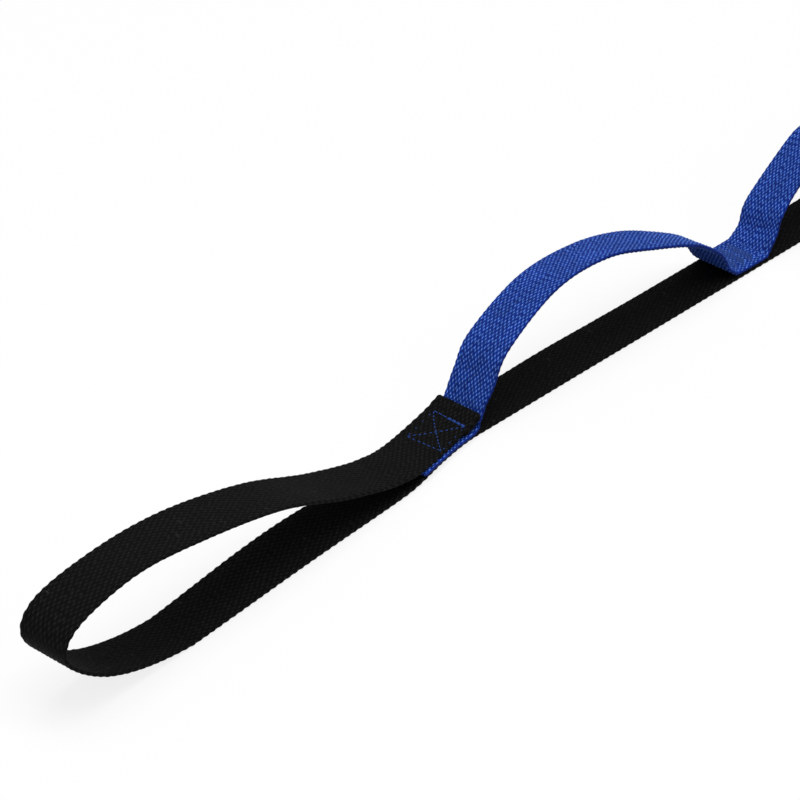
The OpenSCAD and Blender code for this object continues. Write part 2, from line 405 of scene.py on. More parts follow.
@dataclass(frozen=True)
class StrapSizes:
    """The strap's sizes, all read from the frame."""

    folds: tuple[float, ...]     # the fold lines' places along X
    width: float
    base_t: float
    ladder_t: float
    ladder_mid: float            # height of the ladder webbing's middle on the base
    span: float                  # free length of base under a ladder loop
    loop_top: float              # top of a ladder loop
    tuck_len: float              # ladder webbing under an end loop's tab
    reach: float                 # fold line to the far side of an end loop
    end_top: float               # top of an end loop
    STEP = 5.4                   # mm that an end loop steps aside past its fold line
    STEP_LEN = 62.0              # mm over which it steps
    DRIFT = 0.074                # mm further aside for each mm out
    SLIP_LEN = 9.0               # mm over which a webbing slips out of line

    @classmethod
    def from_frame(cls, joints: Sequence[dict]) -> "StrapSizes":
        """Read the sizes from the joints and from the CAD nodes' boxes.

        Args:
            joints: the frame's joints, one at each fold line.

        Returns:
            The sizes.
        """
        folds = tuple(sorted(j["pos_m"][0] / MM for j in joints))
        base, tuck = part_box("base_strap_1"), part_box("ladder_end_a")
        width = (base[1].y - base[0].y) / MM
        return cls(folds=folds, width=width, base_t=base[1].z / MM,
                   ladder_t=(tuck[1].z - tuck[0].z) / MM, ladder_mid=(tuck[1].z + tuck[0].z) / 2 / MM,
                   span=folds[-1] - folds[-2], loop_top=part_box("ladder_loop_1")[1].z / MM,
                   tuck_len=folds[0] - tuck[0].x / MM,
                   reach=folds[0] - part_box("end_loop_a")[0].x / MM, end_top=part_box("end_loop_a")[1].z / MM)

    @property
    def base_mid(self) -> float:
        """Height of the base webbing's middle."""
        return self.base_t / 2

    @property
    def pitch(self) -> float:
        """From one bay's fold line to the next bay's."""
        return self.folds[1] - self.folds[0]

    @property
    def patch(self) -> float:
        """Length of the sewn patch between two ladder loops."""
        return self.pitch - self.span

    def on_ground(self, roll: np.ndarray) -> np.ndarray:
        """Height of a rolled strand's middle when its lower edge is on the ground, roll in degrees."""
        return self.base_mid + self.width / 2 * np.sin(np.radians(np.abs(roll)))

    def place(self, x: np.ndarray, high: np.ndarray, v: np.ndarray, slip: float) -> np.ndarray:
        """Set points of a webbing in the frame: the end loops step aside past their fold lines.

        Args:
            x: mm along the strap, before the step.
            high: mm up.
            v: mm across the webbing.
            slip: mm that this webbing steps further aside than the other.

        Returns:
            The points, in mm.
        """
        def aside(s: np.ndarray) -> np.ndarray:
            """Sideways place of an end loop's middle at a distance past its fold line."""
            along = (self.STEP + self.DRIFT * np.maximum(s, 0)) * smooth(s / self.STEP_LEN)
            return along + slip * smooth(s / self.SLIP_LEN)

        def middle(s: np.ndarray) -> np.ndarray:
            """Sideways place of the strap's middle."""
            return aside(s - self.folds[-1]) - aside(self.folds[0] - s)

        turn = np.arctan(middle(x + 0.5) - middle(x - 0.5))
        return np.stack([x - v * np.sin(turn), middle(x) + v * np.cos(turn), high + 0 * x], axis=1)


# ---------------------------------------------------------------------------
# Routes, and the webbing that is woven along them
# ---------------------------------------------------------------------------

@dataclass
class Route:
    """A band's middle line, with the directions across it and out of its upper face."""

    middle: np.ndarray           # mm, one row a point
    across: np.ndarray           # unit vectors
    out: np.ndarray              # unit vectors
    run: np.ndarray              # mm along the line

    @classmethod
    def through(cls, rows: Sequence[Row], sizes: StrapSizes, step: float, slip: float = 0.0) -> "Route":
        """Lay a route through rows of place along the strap, height and roll in degrees.

        Args:
            rows: the rows, all round the route.
            sizes: the strap's sizes, which place each point.
            step: spacing of the points, in mm. A tight turn gets them closer.
            slip: mm that the webbing steps further aside at the strap's ends.

        Returns:
            The route.
        """
        x, high, roll = curve_through(rows).T
        high = np.maximum(high, sizes.on_ground(roll))
        roll = np.radians(roll)
        middle = sizes.place(x, high, np.zeros_like(x), slip)
        across = (sizes.place(x, high + 0.5 * np.sin(roll), 0.5 * np.cos(roll), slip)
                  - sizes.place(x, high - 0.5 * np.sin(roll), -0.5 * np.cos(roll), slip))
        across = unit(across)
        gaps = np.linalg.norm(np.diff(middle, axis=0), axis=1)
        run = np.concatenate([[0], np.cumsum(gaps)])
        ahead = np.gradient(middle, run, axis=0)
        bend = np.linalg.norm(np.gradient(ahead, run, axis=0), axis=1)
        share = 1 + np.clip(2 * bend, 0, 1.5)        # up to 2.5 times as close
        weight = np.concatenate([[0], np.cumsum(gaps * (share[:-1] + share[1:]) / 2)])
        count = int(round(weight[-1] / step))
        even = np.interp(np.linspace(0, weight[-1], count + 1), weight, run)
        middle, across = (read_rows(even, run, a) for a in (middle, across))
        ahead = np.gradient(middle, even, axis=0)
        return cls(middle, across, unit(np.cross(ahead, across)), even)

    def at(self, run: np.ndarray, v: np.ndarray, height: np.ndarray) -> np.ndarray:
        """Give points at a distance along, a place across and a height over the middle.

        Args:
            run: mm along the line.
            v: mm across, from the middle.
            height: mm out of the upper face's side.

        Returns:
            The points, in mm.
        """
        mid, across, out = (read_rows(run, self.run, a) for a in (self.middle, self.across, self.out))
        return mid + across * np.asarray(v)[:, None] + out * np.asarray(height)[:, None]

    def run_at(self, x: float, low: float, high: float) -> float:
        """Give the distance along at which the line passes a place along the strap.

        Args:
            x: the place along X, in mm.
            low: mm along the line to search from.
            high: mm along the line to search to.

        Returns:
            Mm along the line.
        """
        there = (self.run >= low) & (self.run <= high)
        order = np.argsort(self.middle[there, 0])
        return float(np.interp(x, self.middle[there, 0][order], self.run[there][order]))


@dataclass
class Furrow:
    """A straight line of stitching that pulls one face of a band in."""

    start: tuple[float, float]           # mm along, mm across
    end: tuple[float, float]
    face: Face
    depth: float = 0.2
    spread: float = 0.75

    def depth_at(self, run: np.ndarray, v: np.ndarray) -> np.ndarray:
        """Give how deep it pulls the face in.

        Args:
            run: mm along.
            v: mm across, the same shape.

        Returns:
            Depth in mm, the same shape.
        """
        a, b = np.array(self.start), np.array(self.end)
        way = b - a
        t = np.clip(((run - a[0]) * way[0] + (v - a[1]) * way[1]) / (way @ way + 1e-9), 0, 1)
        gone = (run - a[0] - t * way[0]) ** 2 + (v - a[1] - t * way[1]) ** 2
        return self.depth * np.exp(-gone / (2 * self.spread ** 2))


@dataclass(frozen=True)
class Cut:
    """One piece of a band, from cut to cut: its name, its CAD node and what carries it."""

    name: str
    start: float                         # mm along the band
    end: float
    node: str
    body: str
    other: Optional[str] = None          # the next body, where the piece bends over a fold line
    bend: tuple[float, float] = (0.0, 0.0)       # mm along X where that bend starts and ends
    held: str = "laid"
    rests_on: tuple[str, ...] = ()


@dataclass
class Band:
    """A long band of webbing, meshed float by float along a route and cut into pieces."""

    route: Route
    finish: WebbingFinish
    width: float
    thickness: float
    slot: str                            # the record's material slot
    seed: int
    furrows: list[Furrow] = field(default_factory=list)
    INSET = 0.25                         # mm from the selvedge to a face's first column
    EDGE_SHARES = (0.72, 0.95)           # share of the thickness at the first two columns
    # heights as shares of the finish's relief
    EDGE = -0.8                          # the selvedge
    UNDER = -0.5                         # an end that has gone under
    FLOAT = 1.5                          # from there to the top of a float
    GROOVE = -0.95                       # between two ends
    GROOVE_LIFT = 0.3                    # what a float beside the groove adds
    # how the floats vary
    KNOTS = 5.0                          # floats from one change of drift to the next
    DRIFT = 0.17                         # spread of an end's drift, in floats
    SIZE = 0.22                          # spread of a float's height
    FURROW_MARGIN = 4.0                  # mm past a furrow's ends that it can still reach
    WANDER = 0.4                         # how unevenly the selvedge's scallops are spaced
    FOLLOW = 0.7                         # share of a scallop that the first column follows

    def columns(self) -> tuple[np.ndarray, np.ndarray]:
        """Give the columns of one face.

        Returns:
            The columns' places across in mm, and the share of the thickness at each.
        """
        n = 2 * self.finish.ends
        v = (np.arange(n + 1) / n - 0.5) * (self.width - 2 * self.INSET)
        share = np.ones(n + 1)
        share[[0, -1]] = self.EDGE_SHARES[0]
        share[[1, -2]] = self.EDGE_SHARES[1]
        return v, share

    def floats(self, face: Face) -> tuple[np.ndarray, np.ndarray]:
        """Work out how far the warp is up, for each row and warp end.

        Args:
            face: the face that it is seen from.

        Returns:
            The share that each end is up, and its weave coordinate along the band.
        """
        rng = np.random.default_rng(self.seed + (0 if face is Face.UPPER else 100))
        ends = np.arange(self.finish.ends)
        at = self.route.run / self.finish.float_len
        knots = np.arange(-4, at[-1] + 12, self.KNOTS)
        drift = np.stack([np.interp(at, knots, rng.normal(0, self.DRIFT, len(knots))) for _ in ends],
                         axis=1)
        along = at[:, None] + drift + (0.0 if face is Face.UPPER else 1.0)
        phase = along + ends[None, :]
        nth = np.floor((phase + 1) / 2).astype(int)
        size = rng.normal(1.0, self.SIZE, (nth.max() + 2, self.finish.ends))
        up = smooth(0.5 + 0.5 * np.cos(math.pi * phase)) * size[nth, ends[None, :]]
        return up, along

    def heights(self, face: Face, up: np.ndarray) -> np.ndarray:
        """Work out one face's relief at every row and column.

        Args:
            face: the face.
            up: the share that each end is up.

        Returns:
            Heights over the band's middle, in mm.
        """
        v, share = self.columns()
        relief = np.full((len(up), len(v)), self.EDGE)
        relief[:, 1::2] = self.UNDER + self.FLOAT * up
        relief[:, 2:-1:2] = self.GROOVE + self.GROOVE_LIFT * np.maximum(up[:, :-1], up[:, 1:])
        flat = self.thickness / 2 - 0.5 * self.finish.relief
        high = flat * share[None, :] + self.finish.relief * relief * (share * share)[None, :]
        run = np.repeat(self.route.run[:, None], len(v), axis=1)
        depth = np.zeros_like(high)
        for furrow in self.furrows:
            if furrow.face is face:
                low, top = sorted((furrow.start[0], furrow.end[0]))
                near = (self.route.run > low - self.FURROW_MARGIN) & (
                    self.route.run < top + self.FURROW_MARGIN)
                depth[near] = np.maximum(depth[near], furrow.depth_at(run[near], v[None, :]))
        return high - depth

    def rings(self) -> tuple[np.ndarray, np.ndarray, np.ndarray, np.ndarray, np.ndarray]:
        """Work out the ring of points round the band at every row.

        Returns:
            The points, their places across, their heights, and for the sides between
            two points the weave coordinate along and the warp end.
        """
        v, _ = self.columns()
        cols, rows, ends = len(v), len(self.route.run), self.finish.ends
        up_top, along_top = self.floats(Face.UPPER)
        up_low, along_low = self.floats(Face.LOWER)
        top, low = self.heights(Face.UPPER, up_top), self.heights(Face.LOWER, up_low)
        phase = math.pi * self.route.run / self.finish.float_len
        near = self.finish.scallop * smooth(0.5 + 0.5 * np.cos(phase + self.WANDER * np.sin(phase / 7)))
        far = self.finish.scallop * smooth(0.5 - 0.5 * np.cos(phase + self.WANDER * np.sin(phase / 5)))
        across = np.concatenate([near[:, None] - self.width / 2, np.tile(v, (rows, 1)),
                                 self.width / 2 - far[:, None], np.tile(v[::-1], (rows, 1))], axis=1)
        across[:, 1] += self.FOLLOW * near
        across[:, -1] += self.FOLLOW * near
        across[:, cols] -= self.FOLLOW * far
        across[:, cols + 2] -= self.FOLLOW * far
        high = np.concatenate([np.zeros((rows, 1)), top, np.zeros((rows, 1)), -low[:, ::-1]], axis=1)
        points = (self.route.middle[:, None, :] + self.route.across[:, None, :] * across[..., None]
                  + self.route.out[:, None, :] * high[..., None])
        end_of = np.arange(cols - 1) // 2
        side_end = np.concatenate([[0], end_of, [ends - 1] * 2, end_of[::-1], [0]])
        along = np.concatenate([along_top[:, side_end[:cols + 1]],
                                along_low[:, side_end[cols + 1:]]], axis=1)
        return points, across, high, along, side_end

    def build(self, cuts: Sequence[Cut]) -> None:
        """Mesh the band, cut it, and dress each piece; a piece that stays on one body is attached to it.

        Args:
            cuts: the pieces.
        """
        points, across, high, along, side_end = self.rings()
        for cut in cuts:
            first, last = (int(np.argmin(np.abs(self.route.run - r))) for r in (cut.start, cut.end))
            take = slice(first, last + 1)
            obj = self.piece(cut.name, points[take], across[take], high[take], along[take], side_end)
            if cut.other is None:
                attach(obj, cut.body)
            else:
                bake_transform(obj)
            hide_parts(cut.node)
            log.info("%s: %.0f mm of webbing, %d faces", cut.name, cut.end - cut.start,
                     len(obj.data.polygons))

    def piece(self, name: str, points: np.ndarray, across: np.ndarray, high: np.ndarray,
              along: np.ndarray, side_end: np.ndarray) -> bpy.types.Object:
        """Mesh one piece, with closed ends, its weave map and its bake map.

        Args:
            name: the piece's name.
            points: its rings of points.
            across: their places across.
            high: their heights over the middle.
            along: weave coordinates along, by row and side.
            side_end: the warp end of each side.

        Returns:
            The piece, in its finish.
        """
        rows, ring = across.shape
        cols = ring // 2 - 1
        i, j = np.meshgrid(np.arange(rows - 1), np.arange(ring), indexing="ij")
        k = (j + 1) % ring
        quads = np.stack([i * ring + j, (i + 1) * ring + j, (i + 1) * ring + k, i * ring + k], axis=-1)

        # weave coordinate across of each ring point, kept inside its side's own end
        point_end = np.concatenate([[0], np.arange(cols) / 2, [self.finish.ends],
                                    np.arange(cols)[::-1] / 2, [0]])
        inside = 0.001
        left = np.clip(point_end[:-1], side_end + inside, side_end + 1 - inside)
        right = np.clip(point_end[1:], side_end + inside, side_end + 1 - inside)
        left, right = (np.broadcast_to(a, (rows - 1, ring)) for a in (left, right))
        weave = np.stack([np.stack([along[:-1], left], -1), np.stack([along[1:], left], -1),
                          np.stack([along[1:], right], -1), np.stack([along[:-1], right], -1)], axis=2)

        caps, cap_weave, cap_bake = [], [], []
        for cap, row in enumerate((0, rows - 1)):
            sides = [[0, 1, ring - 1]] + [[c, c + 1, ring - c - 1, ring - c] for c in range(1, cols)]
            for corners in sides + [[cols, cols + 1, cols + 2]]:
                corners = corners[::-1] if row else corners
                caps.append([row * ring + q for q in corners])
                for q in corners:
                    column = min(q if q <= cols else ring - q, cols)
                    cap_weave.append((along[row, min(q, ring - 1)], column / 2))
                    cap_bake.append((0.975 + 0.02 * (q > cols), 0.02 + 0.45 * cap + 0.42 * column / cols))
        obj = mesh_object(name, points.reshape(-1, 3), list(quads.reshape(-1, 4)) + caps,
                          {"weave": np.concatenate([weave.reshape(-1, 2), np.array(cap_weave)]),
                           "OFBake": np.concatenate([self.bake_map(across, high), np.array(cap_bake)])})
        dress(obj, self.finish)
        return obj

    @staticmethod
    def bake_map(across: np.ndarray, high: np.ndarray) -> np.ndarray:
        """Fold a piece's skin into side-by-side strips of one square map.

        Args:
            across: places across, by row and ring point.
            high: heights, by row and ring point.

        Returns:
            Map places, four corners for each side.
        """
        rows, ring = across.shape
        round_it = np.hypot(np.diff(np.append(across[0], across[0, 0])),
                            np.diff(np.append(high[0], high[0, 0])))
        girth = np.concatenate([[0], np.cumsum(round_it)])
        row_len = 0.7            # mm, near enough to share the map out evenly
        margin, used = 0.01, 0.96        # the ends' faces have the rest of the map
        strips = max(1, int(round(math.sqrt(rows * row_len / girth[-1]))))
        per = -(-(rows - 1) // strips)
        strip, lift = np.divmod(np.arange(rows - 1), per)
        u = margin + used * (strip[:, None] + 0.02 + 0.96 * girth[None, :] / girth[-1]) / strips
        v = np.broadcast_to(margin + used * lift[:, None] / per, (rows - 1, ring))
        step = used / per
        return np.stack([np.stack([u[:, :-1], v], -1), np.stack([u[:, :-1], v + step], -1),
                         np.stack([u[:, 1:], v + step], -1), np.stack([u[:, 1:], v], -1)],
                        axis=2).reshape(-1, 2)


# ---------------------------------------------------------------------------
# Stitching
# ---------------------------------------------------------------------------

@dataclass(frozen=True)
class Stitch:
    """One stitch on a face: its two ends, and how much deeper than the others it lies."""

    start: tuple[float, float]           # mm along, mm across
    end: tuple[float, float]
    sunk: float = 0.0


def stitched_line(start: tuple[float, float], end: tuple[float, float], pitch: float,
                  shows: float = 0.8, sunk: float = 0.0) -> list[Stitch]:
    """Divide a straight seam into stitches.

    Args:
        start: the seam's start, (mm along, mm across).
        end: its end.
        pitch: about how long one stitch is, in mm.
        shows: share of the pitch that lies on the face.
        sunk: how much deeper the stitches lie, in mm.

    Returns:
        The stitches.
    """
    a, b = np.array(start), np.array(end)
    count = max(1, int(round(np.linalg.norm(b - a) / pitch)))
    gap = (1 - shows) / 2
    return [Stitch(tuple(a + (b - a) * (k + gap) / count), tuple(a + (b - a) * (k + 1 - gap) / count),
                   sunk) for k in range(count)]


@dataclass
class Seam:
    """Stitches laid on one face of a band, each a short arched thread."""

    name: str
    node: str
    body: str
    route: Route
    face: Face
    surface: float                       # mm from the band's middle to its face
    radius: float = 0.3
    rise: float = 0.12                   # mm that a stitch's middle stands over its face
    sink: float = 0.45                   # mm that its ends go into the face
    sides: int = 8
    seed: int = 5
    STRAY = 0.07                         # mm that a stitch's ends stray
    UNEVEN = 0.03                        # mm that its height varies

    def build(self, stitches: Sequence[Stitch], finish: ThreadFinish) -> None:
        """Mesh all the stitches as one piece, and dress and attach it.

        Args:
            stitches: the stitches.
            finish: their thread.
        """
        rng = np.random.default_rng(self.seed)
        share = np.array([0.0, 0.08, 0.24, 0.41, 0.59, 0.76, 0.92, 1.0])
        girth = np.clip(1 - (2 * share - 1) ** 6, 0.1, 1) ** 0.5
        arch = -self.sink + (self.sink + self.rise) * np.sin(math.pi * share) ** 0.6
        turn = TAU * np.arange(self.sides) / self.sides
        points, faces, places = [], [], []
        for n, stitch in enumerate(stitches):
            a, b = (np.array(p) + rng.normal(0, self.STRAY, 2) for p in (stitch.start, stitch.end))
            way = a + (b - a) * share[:, None]
            high = self.surface + arch - stitch.sunk + rng.normal(0, self.UNEVEN)
            spine = self.route.at(way[:, 0], way[:, 1], self.face.value * high)
            up = self.route.at(way[:, 0], way[:, 1], self.face.value * (high + 1)) - spine
            ahead = np.gradient(spine, axis=0)
            side = unit(np.cross(ahead, up))
            up = unit(np.cross(side, ahead))
            ring = side[:, None, :] * np.cos(turn)[:, None] + up[:, None, :] * np.sin(turn)[:, None]
            points.append((spine[:, None, :] + ring * (self.radius * girth)[:, None, None]).reshape(-1, 3))
            self.add_faces(n * len(share) * self.sides, share * np.linalg.norm(b - a), faces, places)
        obj = mesh_object(self.name, np.vstack(points), faces, {"weave": np.array(places)})
        dress(obj, finish)
        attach(obj, self.body)
        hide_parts(self.node)
        log.info("%s: %d stitches", self.name, len(stitches))

    def add_faces(self, first: int, lengths: np.ndarray, faces: list, places: list) -> None:
        """Add the faces of one stitch, and their corners' places on its map.

        Args:
            first: number of the stitch's first point.
            lengths: mm along the stitch of each ring.
            faces: the list that the faces go to.
            places: the list that the corners' places go to.
        """
        for i in range(len(lengths) - 1):
            for j in range(self.sides):
                k = (j + 1) % self.sides
                here, there = first + i * self.sides, first + (i + 1) * self.sides
                faces.append([here + j, there + j, there + k, here + k])
                places += [(lengths[i], j / self.sides), (lengths[i + 1], j / self.sides),
                           (lengths[i + 1], (j + 1) / self.sides), (lengths[i], (j + 1) / self.sides)]
        for i, order in ((0, range(self.sides)), (len(lengths) - 1, range(self.sides - 1, -1, -1))):
            faces.append([first + i * self.sides + j for j in order])
            places += [(lengths[i], j / self.sides) for j in order]


# ---------------------------------------------------------------------------
# The strap's sub-assemblies
# ---------------------------------------------------------------------------

class End(Enum):
    """The strap's two ends, by the way that each one points along X."""

    A = -1
    B = 1


@dataclass
class EndLoop:
    """A folded-back end loop, its hemmed tab, the tucked ladder end and the boxed cross."""

    sizes: StrapSizes
    end: End
    stitch: float = 2.6                  # length of one stitch
    box_start: float = 9.3               # fold line to the box
    box_len: float = 21.3
    box_half: float = 9.6
    box_mid: float = -1.4                # the box is sewn a little off the tab's middle
    box_skew: float = 0.8                # and not quite square
    TACK_BESIDE = (0.45, -0.4)           # mm from the top line to the lines that back-tack it
    TACK_FROM = 0.45                     # share of the top line at which those start
    # share of the reach, roll in degrees: the lower strand keeps one edge on the ground
    LOWER = ((0.245, 3), (0.382, 13), (0.511, 14), (0.725, 4))
    # share of the reach, share of the top, roll
    UPPER = ((0.893, 0.22, 2), (0.995, 0.595, 5), (0.974, 0.86, 7), (0.844, 0.957, 2),
             (0.693, 0.883, 8), (0.515, 0.675, 5), (0.371, 0.395, 5), (0.266, 0.221, 5))
    # mm from the fold line, height of the middle, roll: the tab rises over its hem
    TAB = ((60, 9.3, 5), (50, 7.5, 5), (42, 6.5, 4), (34, 5.9, 3), (26, 5.8, 2), (19, 6.2, 1),
           (13, 7.1, 0), (7.5, 8.3, 0), (4, 9.8, 0), (1.7, 10.9, 0), (0.2, 10.3, 0), (1.2, 8.7, 0),
           (4.5, 7.3, 0), (8, 5.8, 0), (12, 5.2, 0))
    # the ladder end lifts off the base under the hem, and is cut at the fold line
    TUCK = ((10, 3.1, 0), (6, 3.3, 0), (3, 4.0, 0), (1, 5.2, 0))
    LEG_FOOT = ((-0.8, 7.2, -1), (-2.6, 10.0, -3), (-4.3, 13.2, -5))

    @property
    def tag(self) -> str:
        """The end's letter in the pieces' names."""
        return self.end.name.lower()

    @property
    def fold(self) -> float:
        """Place of this end's fold line along X."""
        return self.sizes.folds[0] if self.end is End.A else self.sizes.folds[-1]

    def outwards(self, rows: Sequence[Row]) -> list[Row]:
        """Turn rows measured from the fold line into rows along X.

        Args:
            rows: distance from the fold line, height and roll.

        Returns:
            Place along X, height and roll.
        """
        return [(self.fold + self.end.value * d, z, -self.end.value * r) for d, z, r in rows]

    def loop_rows(self) -> list[Row]:
        """Give the loop's rows, from its flat stack out, round and back into the hem.

        Returns:
            Place along X, height and roll.
        """
        s = self.sizes
        stack = [(d, s.base_mid, 0.0) for d in (1, 12, 24)] + [(38, s.base_mid + 0.5, 0.5)]
        lower = [(d * s.reach, s.on_ground(r), r) for d, r in self.LOWER]
        upper = [(d * s.reach, z * s.end_top, r) for d, z, r in self.UPPER]
        return self.outwards(stack + lower + upper + list(self.TAB))

    def tuck_rows(self) -> list[Row]:
        """Give the ladder end's rows, from its cut end to the fold line.

        Returns:
            Place along X, height and roll.
        """
        mid, length = self.sizes.ladder_mid, self.sizes.tuck_len
        far = [(length, mid + 1.5, 2), (0.77 * length, mid + 0.8, 1), (0.51 * length, mid + 0.2, 0.5)]
        return self.outwards(far + list(self.TUCK))

    def leg_foot_rows(self) -> list[Row]:
        """Give the rows of the loop leg that rises out of the hem."""
        return self.outwards(self.LEG_FOOT)

    def tab_point(self, route: Route, dist: float, v: float) -> tuple[float, float]:
        """Find a place on the tab's outer face.

        Args:
            route: the black webbing's route.
            dist: mm from the fold line.
            v: mm across, counted from the middle to the side away from the loop's step.

        Returns:
            Mm along the route, and mm across it.
        """
        span, total = 60.0, route.run[-1]
        near = (route.run < span) if self.end is End.A else (route.run > total - span)
        turn = float(route.run[near][np.argmin(self.end.value * route.middle[near, 0])])
        low, high = (turn, turn + span) if self.end is End.A else (turn - span, turn)
        return route.run_at(self.fold + self.end.value * dist, low, high), -self.end.value * v

    def box_lines(self, route: Route) -> dict[str, tuple[tuple[float, float], tuple[float, float]]]:
        """Lay out the boxed cross.

        Args:
            route: the black webbing's route.

        Returns:
            Each straight line's two ends, as (mm along, mm across).
        """
        def corner(dist: float, side: int) -> tuple[float, float]:
            """Place one corner of the box."""
            return self.tab_point(route, dist - side * self.box_skew, self.box_mid + side * self.box_half)

        near, far = self.box_start, self.box_start + self.box_len
        return {"top": (corner(near, 1), corner(near, -1)), "bottom": (corner(far, 1), corner(far, -1)),
                "left": (corner(near, 1), corner(far, 1)), "right": (corner(near, -1), corner(far, -1)),
                "falling": (corner(near, 1), corner(far, -1)), "rising": (corner(far, 1), corner(near, -1))}

    def furrows(self, route: Route) -> list[Furrow]:
        """Give the lines along which the cross pulls the tab in."""
        return [Furrow(a, b, Face.LOWER, 0.3 if name == "top" else 0.2)
                for name, (a, b) in self.box_lines(route).items()]

    def sew(self, route: Route) -> None:
        """Sew the boxed cross: a bright back-tacked line at the tab's end, and finer ones.

        Args:
            route: the black webbing's route.
        """
        lines = self.box_lines(route)
        stitches = stitched_line(*lines["top"], self.stitch, 0.86)
        a, b = (np.array(p) for p in lines["top"])
        for beside in self.TACK_BESIDE:
            shift = np.array([beside, 0.0])
            back_tack = (tuple(a + self.TACK_FROM * (b - a) + shift), tuple(b + shift))
            stitches += stitched_line(*back_tack, self.stitch, 0.95)
        stitches += stitched_line(*lines["bottom"], self.stitch, 0.7, sunk=0.16)
        for name in ("falling", "rising"):
            stitches += stitched_line(*lines[name], self.stitch, 0.62, sunk=0.16)
        for name in ("left", "right"):
            stitches += stitched_line(*lines[name], 2 * self.stitch, 0.16, sunk=0.22)
        Seam(f"box_cross_thread_{self.tag}", f"box_stitch_{self.tag}", f"end_{self.tag}", route, Face.LOWER,
             self.sizes.base_t / 2 - 0.12, radius=0.25, seed=5 + self.end.value).build(stitches, BLUE_THREAD)


@dataclass
class Bay:
    """One bay: a stretch of base webbing, the ladder loop over it and its sewn patch."""

    sizes: StrapSizes
    number: int
    arch: tuple[Row, ...]                # share of the span, share of the top, roll
    base_roll: float = 0.0               # how far the base's far edge lifts at mid-bay, in degrees
    FOOT = ((1.0, 3.12, 0), (3.0, 3.6, -1), (5.2, 5.6, -4))
    LANDING = ((0.4, 3.4, 0), (2.4, 3.1, 0))
    row_inset: float = 1.4               # patch's edge to its first and last row
    rows: int = 3
    reach: float = 10.7                  # half of the patch's sewn width
    pitch: float = 1.05                  # mm across from one thread to the next
    lean: float = 0.93                   # mm across for each mm along, near 45 degrees
    overlap: float = 0.3                 # mm that a row runs into the next
    dent_inset: float = 0.6              # patch's edge to the dent beside it

    @property
    def fold(self) -> float:
        """Place of the bay's left fold line along X."""
        return self.sizes.folds[self.number - 1]

    @property
    def last(self) -> bool:
        """Whether this is the strap's last bay."""
        return self.number == len(self.sizes.folds) - 1

    @property
    def first(self) -> bool:
        """Whether this is the strap's first bay."""
        return self.number == 1

    def loop_rows(self) -> list[Row]:
        """Give the ladder loop's rows: its foot, its arch and its landing.

        Returns:
            Place along X, height and roll.
        """
        s = self.sizes
        foot = [] if self.first else [(self.fold + d, z, r) for d, z, r in self.FOOT]
        arch = [(self.fold + d * s.span, z * s.loop_top, r) for d, z, r in self.arch]
        landing = [] if self.last else [(self.fold + s.span + d, z, r) for d, z, r in self.LANDING]
        return foot + arch + landing

    def base_rows(self) -> list[Row]:
        """Give the base webbing's rows, which roll a little at mid-bay.

        Returns:
            Place along X, height and roll.
        """
        s = self.sizes
        return [(self.fold + share * s.span, s.on_ground(k * self.base_roll), k * self.base_roll)
                for share, k in ((0.03, 0), (0.18, 0.35), (0.37, 1), (0.56, 0.5), (0.76, 0), (0.98, 0))]

    def patch_legs(self, route: Route, low: float, high: float) -> list[Stitch]:
        """Lay out the patch's dense slanting threads, in rows that run into each other.

        Args:
            route: the blue webbing's route.
            low: mm along it to search from.
            high: mm along it to search to.

        Returns:
            The threads.
        """
        edge = self.fold + self.sizes.span
        depth = (self.sizes.patch - 2 * self.row_inset) / self.rows
        legs = []
        for row in range(self.rows):
            a = route.run_at(edge + self.row_inset + row * depth - self.overlap, low, high)
            b = a + depth + 2 * self.overlap
            count = int((2 * self.reach - self.lean * (b - a)) / self.pitch)
            for k in range(count + 1):
                v = -self.reach + k * self.pitch + 0.5 * self.pitch * (row % 2)
                legs.append(Stitch((a, v), (b, v + self.lean * (b - a))))
        return legs

    def patch_ends(self, route: Route, low: float, high: float) -> list[Furrow]:
        """Give the dents at the patch's two edges and in its last corners.

        Args:
            route: the blue webbing's route.
            low: mm along it to search from.
            high: mm along it to search to.

        Returns:
            The furrows.
        """
        first = route.run_at(self.fold + self.sizes.span + self.dent_inset, low, high)
        last = route.run_at(self.fold + self.sizes.pitch - self.dent_inset, low, high)
        lines = [Furrow((first, -self.reach), (first, self.reach), Face.UPPER, 0.3),
                 Furrow((last, -self.reach), (last, self.reach), Face.UPPER, 0.6, 0.5)]
        return lines + [Furrow((last, s * self.reach - 0.5), (last, s * self.reach), Face.UPPER, 0.7, 0.5)
                        for s in (-1, 1)]

    def sew(self, route: Route, low: float, high: float) -> None:
        """Sew the patch at the bay's right-hand end.

        Args:
            route: the blue webbing's route.
            low: mm along it to search from.
            high: mm along it to search to.
        """
        Seam(f"patch_thread_{self.number}", f"seam_stitch_{self.number}", f"bay_{self.number}", route,
             Face.UPPER, self.sizes.ladder_t / 2 - 0.1, radius=0.33, rise=0.08, sink=0.35,
             seed=20 + self.number).build(self.patch_legs(route, low, high), BLUE_THREAD)


